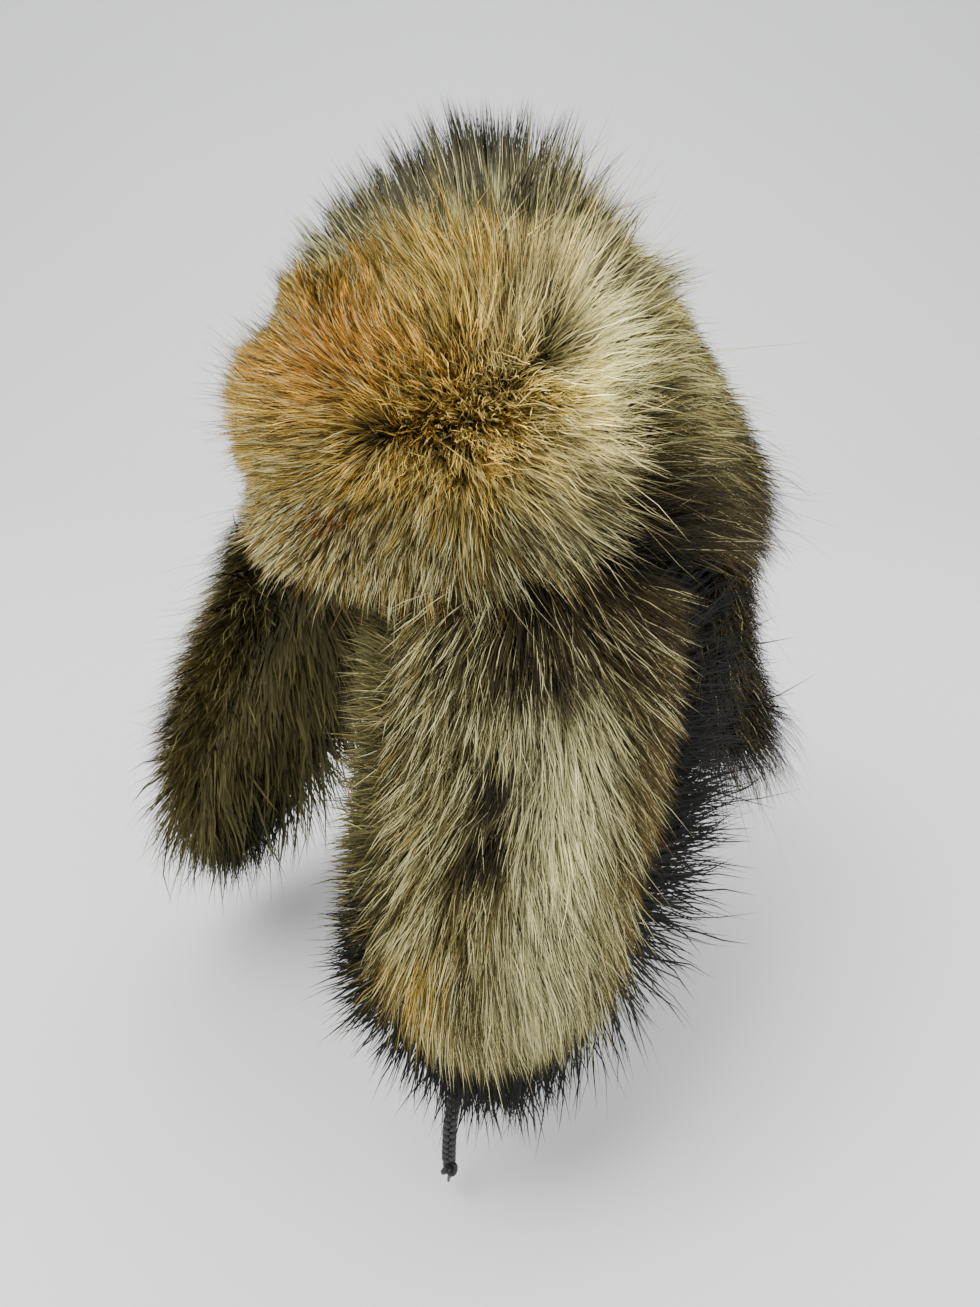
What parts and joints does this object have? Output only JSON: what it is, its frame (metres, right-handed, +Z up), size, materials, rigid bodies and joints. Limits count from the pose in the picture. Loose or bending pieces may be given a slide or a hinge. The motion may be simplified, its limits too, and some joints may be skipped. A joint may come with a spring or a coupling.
{
  "type": "fur trapper hat",
  "caption": "Fur trapper hat with a deep coyote-coloured pelt, a turned-up peak, hanging ear flaps lined in black fur, a neck flap and a short plaited tie",
  "frame": {"origin": "the inside top of the crown, on its middle line, where the top of a head touches it", "axes": "+Z up through the crown, -Y out of the face opening, +X to the wearer's left"},
  "size_m": [0.2864, 0.2915, 0.3857],
  "materials": {
    "leather": "matt black leather",
    "coyote_fur": "long fur, tan and grey with black tips",
    "black_fur": "black fur",
    "lace": "plaited black lace, a little shiny"
  },
  "bodies": {
    "root": {"crown": "leather", "crown_fur": "coyote_fur", "peak": "leather", "peak_fur": "coyote_fur", "neck_flap": "leather", "neck_flap_fur": "coyote_fur", "ear_flap_left": "leather", "ear_flap_left_fur": "coyote_fur", "ear_flap_left_lining": "black_fur", "ear_flap_right": "leather", "ear_flap_right_fur": "coyote_fur", "ear_flap_right_lining": "black_fur", "tie_lace": "lace", "tie_knot": "lace"}
  },
  "joints": []
}
